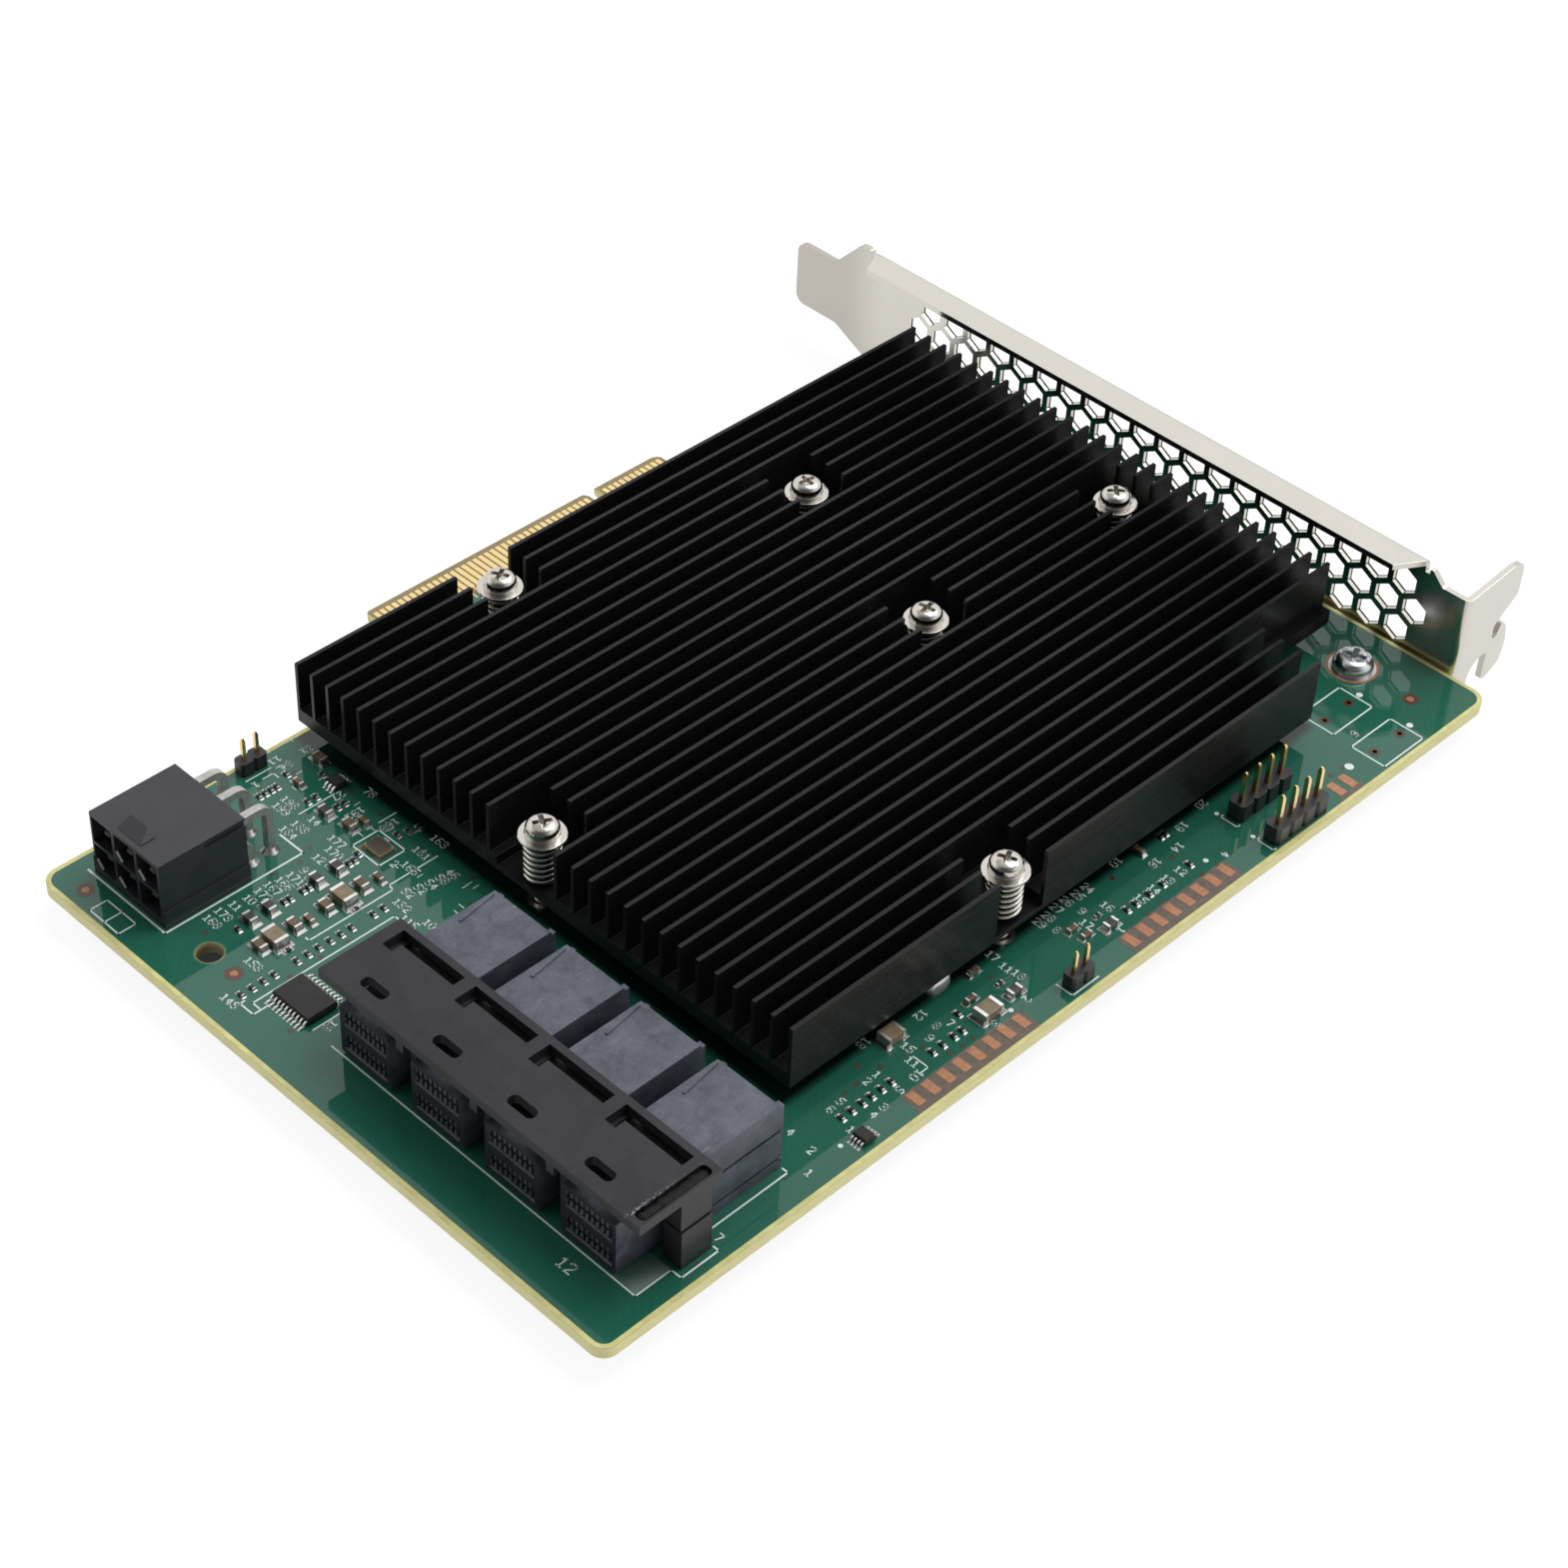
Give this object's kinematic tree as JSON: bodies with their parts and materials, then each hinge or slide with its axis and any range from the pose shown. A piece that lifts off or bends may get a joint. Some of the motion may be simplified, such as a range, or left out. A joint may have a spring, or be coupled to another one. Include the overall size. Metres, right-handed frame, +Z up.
{
  "type": "host bus adapter",
  "caption": "Host bus adapter card: green circuit board under a black finned heat sink, with internal storage ports, a power header, an edge connector and a vented slot bracket.",
  "frame": {"origin": "middle of the overall box at its lowest level, where the card lies on its solder side", "axes": "+X along the board to the slot bracket, +Y across the board to the edge connector, +Z up from the component face"},
  "size_m": [0.1684, 0.126, 0.0197],
  "materials": {
    "solder_mask_board": "glossy green solder mask over glass-fibre laminate",
    "black_anodised": "black anodised extrusion",
    "nickel_sheet": "bright nickel-plated steel sheet",
    "nickel_screw": "nickel-plated steel",
    "zinc_screw": "zinc-plated steel",
    "spring_wire": "plated spring wire",
    "nut_steel": "plated steel",
    "chip_package": "lidded chip package",
    "thermal_pad": "soft filled silicone",
    "cage_plastic": "dark grey glass-filled plastic",
    "port_plastic": "blue-grey mottled glass-filled plastic",
    "contact_gold": "gold-plated contact alloy",
    "power_plastic": "dark blue-grey nylon",
    "tin_pin": "bright tin plating",
    "header_plastic": "black moulded plastic",
    "gold_pin": "gold-plated pins",
    "ic_plastic": "black moulded chip package with tinned leads",
    "crystal_case": "metal lid on a ceramic case",
    "ceramic_tan": "tan ceramic with tinned end caps",
    "ceramic_brown": "brown ceramic with tinned end caps",
    "resistor_black": "black film on ceramic with tinned end caps",
    "ferrite_grey": "dark ferrite with tinned end caps"
  },
  "bodies": {
    "root": {"bracket_screws": "zinc_screw", "chip_capacitors": "ceramic_brown", "chip_resistors": "resistor_black", "circuit_board": "solder_mask_board", "controller_chip_1": "chip_package", "controller_chip_2": "chip_package", "crystal": "crystal_case", "ferrite_beads": "ferrite_grey", "header_base_a": "header_plastic", "header_base_b": "header_plastic", "header_pins_a": "gold_pin", "header_pins_b": "gold_pin", "heat_sink": "black_anodised", "heatsink_nuts": "nut_steel", "heatsink_screws": "nickel_screw", "heatsink_springs": "spring_wire", "interface_ic": "ic_plastic", "io_bracket": "nickel_sheet", "jumper_base_a": "header_plastic", "jumper_base_b": "header_plastic", "jumper_pins_a": "gold_pin", "jumper_pins_b": "gold_pin", "large_capacitors": "ceramic_tan", "power_housing": "power_plastic", "power_pins": "tin_pin", "sas_cage": "cage_plastic", "sas_contacts_1": "contact_gold", "sas_contacts_2": "contact_gold", "sas_contacts_3": "contact_gold", "sas_contacts_4": "contact_gold", "sas_port_1": "port_plastic", "sas_port_2": "port_plastic", "sas_port_3": "port_plastic", "sas_port_4": "port_plastic", "small_ic_1": "ic_plastic", "small_ic_2": "ic_plastic", "switch_chip": "chip_package", "thermal_pad_1": "thermal_pad", "thermal_pad_2": "thermal_pad", "thermal_pad_3": "thermal_pad"}
  },
  "joints": []
}
